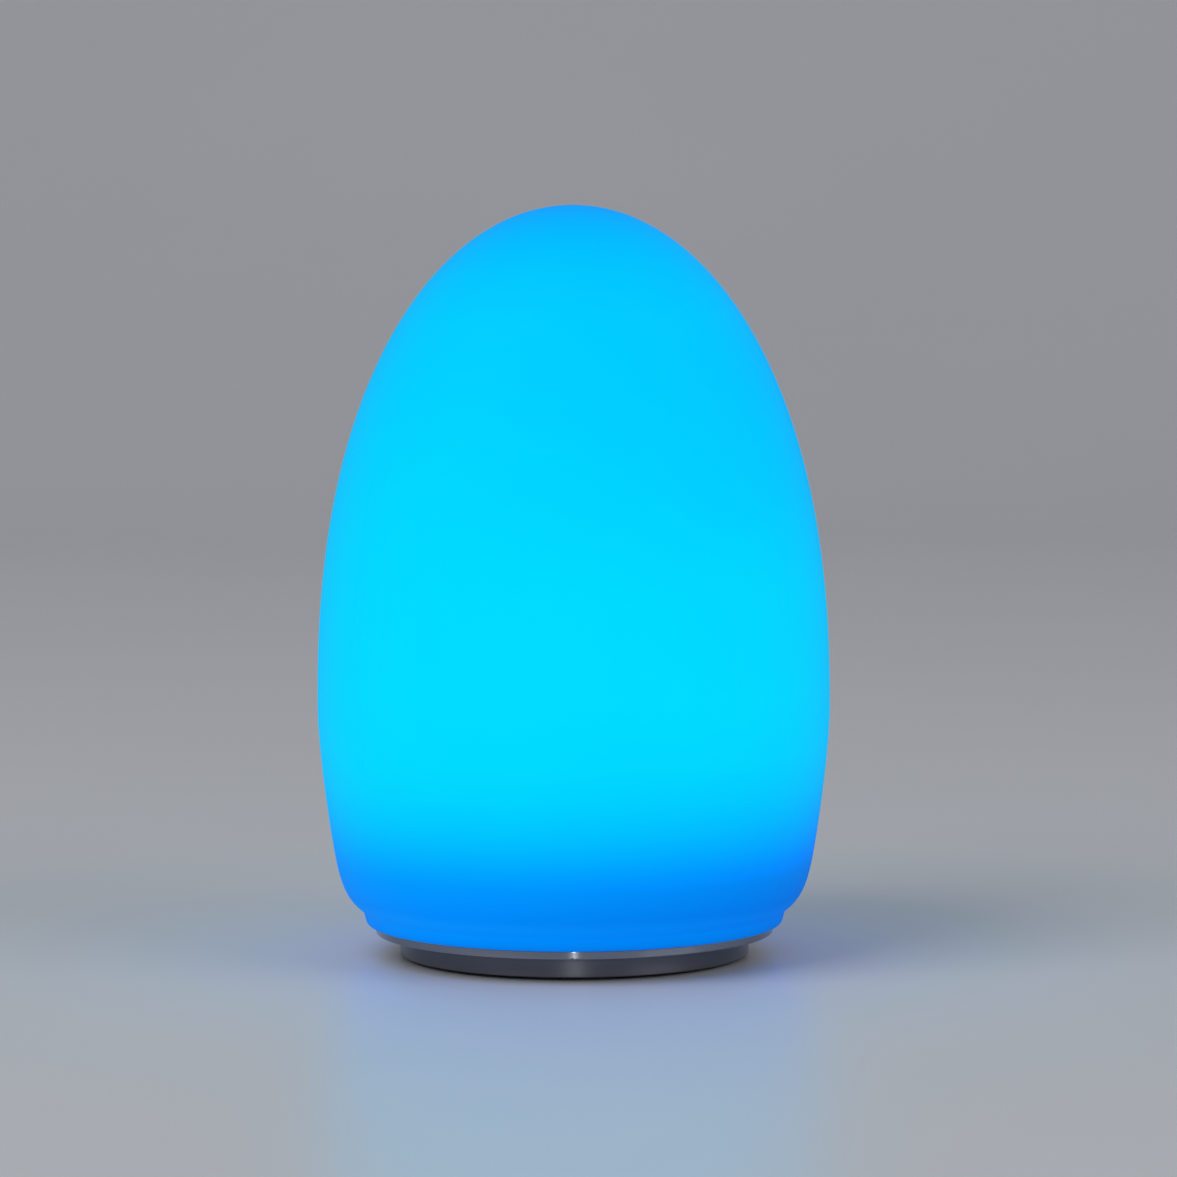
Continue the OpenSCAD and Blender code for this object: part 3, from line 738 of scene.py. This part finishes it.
# ------------------------------------------------------------------ rubber feet
pads = [lathe("pad", rounded([(0, 0.12), (PAD_R - 1.1, 0.12, 0.15), (PAD_R - 0.9, 0.0, 0.12), (PAD_R, 0.0, 0.35), (PAD_R, COVER_Z + 0.8, 0.1), (0, COVER_Z + 0.8)], 5),
              n=64, at=(FEET_R * math.cos(math.radians(a)), FEET_R * math.sin(math.radians(a)))) for a in range(45, 360, 90)]
dress(join("rubber_foot_set", pads), "lamp", "rubber", ["rubber_feet"])

# ------------------------------------------------------------------ power button, dished for a fingertip
bz = COVER_Z
dished = [(2.9 * k / 6, bz + 0.72 - 0.32 * (k / 6) ** 2) for k in range(0, 7)]
button = lathe("power_button_cap", rounded(
    [dished[0]] + [(a, b) for a, b in dished[1:]] + [(BTN_R, bz + 0.4, 0.35), (BTN_R, bz + 2.5, 0.1), (BTN_R + 1, bz + 2.5, 0.12),
     (BTN_R + 1, bz + 3.3, 0.12), (0, bz + 3.3)], 5), n=96, at=(BTN_X, BTN_Y))
dress(button, "button", "button", ["power_button"])

# ------------------------------------------------------------------ port door: plate, hinge barrel, pull lip and plug
door = prism("port_door_panel", box_outline(HINGE_X - 8.4, HINGE_X, PORT_Y - DOOR_W / 2, PORT_Y + DOOR_W / 2, 0.35), COVER_Z + 0.05, COVER_Z + 1.25)
t = prism("add", circle(0.9, 40), -DOOR_W / 2, DOOR_W / 2)
t.rotation_euler = (math.radians(-90), 0, 0)
t.location = (HINGE_X * MM, PORT_Y * MM, HINGE_Z * MM)
plug = prism("add", stadium(7.4, 1.7), COVER_Z + 1.0, COVER_Z + 2.05, at=(PORT_X, PORT_Y))
boolean(door, [t, plug], "UNION")
bore = prism("cut", circle(0.45, 28), -DOOR_W / 2 - 1, DOOR_W / 2 + 1)
bore.rotation_euler = (math.radians(-90), 0, 0)
bore.location = (HINGE_X * MM, PORT_Y * MM, HINGE_Z * MM)
nick = prism("cut", circle(2.2, 40), COVER_Z - 0.5, COVER_Z + 0.4, at=(HINGE_X - 8.4 - 1.2, PORT_Y))
boolean(door, [bore, nick], "DIFFERENCE")
bevel(door, 0.1, 2)
dress(door, "door", "door", ["port_door"])

# ------------------------------------------------------------------ socket
shell = prism("charge_socket_shell", stadium(9.0, 3.3, 24), COVER_Z + 1.7, BOARD_Z, at=(PORT_X, PORT_Y))
well = prism("cut", stadium(8.4, 2.7, 24), COVER_Z, BOARD_Z - 1.0, at=(PORT_X, PORT_Y))
boolean(shell, [well], "DIFFERENCE")
bevel(shell, 0.06, 2)
dress(shell, "lamp", "nickel", ["charge_socket"])

# ------------------------------------------------------------------ light pipe
pipe = lathe("light_pipe_body", rounded([(0, COVER_Z + 0.12), (0.7, COVER_Z + 0.17), (1.25, COVER_Z + 0.45, 0.25), (1.25, COVER_TOP, 0.05), (2.2, COVER_TOP, 0.1),
                                         (2.2, COVER_TOP + 0.8, 0.1), (1.25, COVER_TOP + 0.8, 0.05), (1.25, COVER_TOP + 4.6, 0.1), (0, COVER_TOP + 4.6)], 4), n=48, at=(0, -20.2))
dress(pipe, "lamp", "clear", ["light_pipe"])

# ------------------------------------------------------------------ CAD nodes that keep their shape
cad("shade_seal", "silicone", 0.15)
cad("cover_seal", "rubber", 0.1)
cad("switch_plunger", "black", 0.15)
cad("switch_body", "black", 0.15)
cad("socket_tongue", "black", 0.1)
cad("door_pin", "screw", 0.08)
cad("indicator_led", "diode", 0.1)
cad("control_board", "green", 0.06)
cad("microcontroller", "chip", 0.06)
cad("board_capacitors", "can", 0.2)
cad("power_inductor", "ferrite", 0.2)
cad("chip_parts", "tan", 0.06)
cad("lead_connectors", "ivory", 0.15)
cad("board_screws", "screw", 0.1)
cad("battery_cell", "wrap", 0.3)
cad("battery_clamps", "ivory", 0.15)
cad("clamp_screws", "screw", 0.1)
cad("battery_lead_pos", "red")
cad("battery_lead_neg", "dark")
cad("led_board", "white", 0.08)
cad("led_chips", "diode", 0.1)
cad("led_board_screws", "screw", 0.1)
cad("ir_receiver", "receiver", 0.2)
cad("led_leads", "pale")


# ------------------------------------------------------------------ stage: pale floor that sweeps up behind
def stage():
    pts = [(-4.0, 0.0), (1.1, 0.0)]
    for k in range(1, 17):
        a = math.pi / 2 * k / 16
        pts.append((1.1 + 0.9 * math.sin(a), 0.9 * (1 - math.cos(a))))
    pts.append((2.0, 4.0))
    verts, faces = [], []
    for y, z in pts:
        verts += [(-4.0, y, z), (4.0, y, z)]
    for k in range(len(pts) - 1):
        faces.append((2 * k, 2 * k + 1, 2 * k + 3, 2 * k + 2))
    me = bpy.data.meshes.new("floor")
    me.from_pydata(verts, [], faces)
    ob = bpy.data.objects.new("floor", me)
    bpy.context.scene.collection.objects.link(ob)
    for p in me.polygons:
        p.use_smooth = True
    m = Nodes("pale_floor")
    a = m.noise(3.0, 3, 0.5)
    m.colour(m.ramp(a, [(0.3, (0.70, 0.705, 0.72)), (0.7, (0.72, 0.725, 0.74))]))
    m.rough(m.range(a, 0.3, 0.7, 0.34, 0.38))
    m.set(Specular_IOR_Level=0.5)
    me.materials.append(m.mat)


stage()


def area(name, at, to, size, power, colour=(1, 1, 1), only=()):
    d = bpy.data.lights.new(name, "AREA")
    d.shape = "RECTANGLE"
    d.size, d.size_y = size
    d.energy = power
    d.color = colour
    o = bpy.data.objects.new(name, d)
    bpy.context.scene.collection.objects.link(o)
    o.location = at
    o.rotation_euler = (Vector(to) - Vector(at)).to_track_quat("-Z", "Y").to_euler()
    if only:
        o.light_linking.receiver_collection = bpy.data.collections.new(name + "_lit")
        for piece in only:
            o.light_linking.receiver_collection.objects.link(piece)
    return o


area("soft_key", (-1.1, -1.0, 1.7), (0, 0, 0.06), (1.4, 1.4), 18)
area("soft_fill", (1.4, -0.9, 1.1), (0, 0, 0.06), (1.2, 1.2), 7)
area("front_strip", (0.003, -1.75, 0.36), (0, 0, 0.0), (0.014, 0.30), 2.0, only=(ring, house))
w = bpy.data.worlds.new("studio")
bpy.context.scene.world = w
w.use_nodes = True
w.node_tree.nodes["Background"].inputs[0].default_value = (0.80, 0.84, 0.92, 1)
w.node_tree.nodes["Background"].inputs[1].default_value = 0.28
bpy.context.scene.view_settings.view_transform = "Standard"
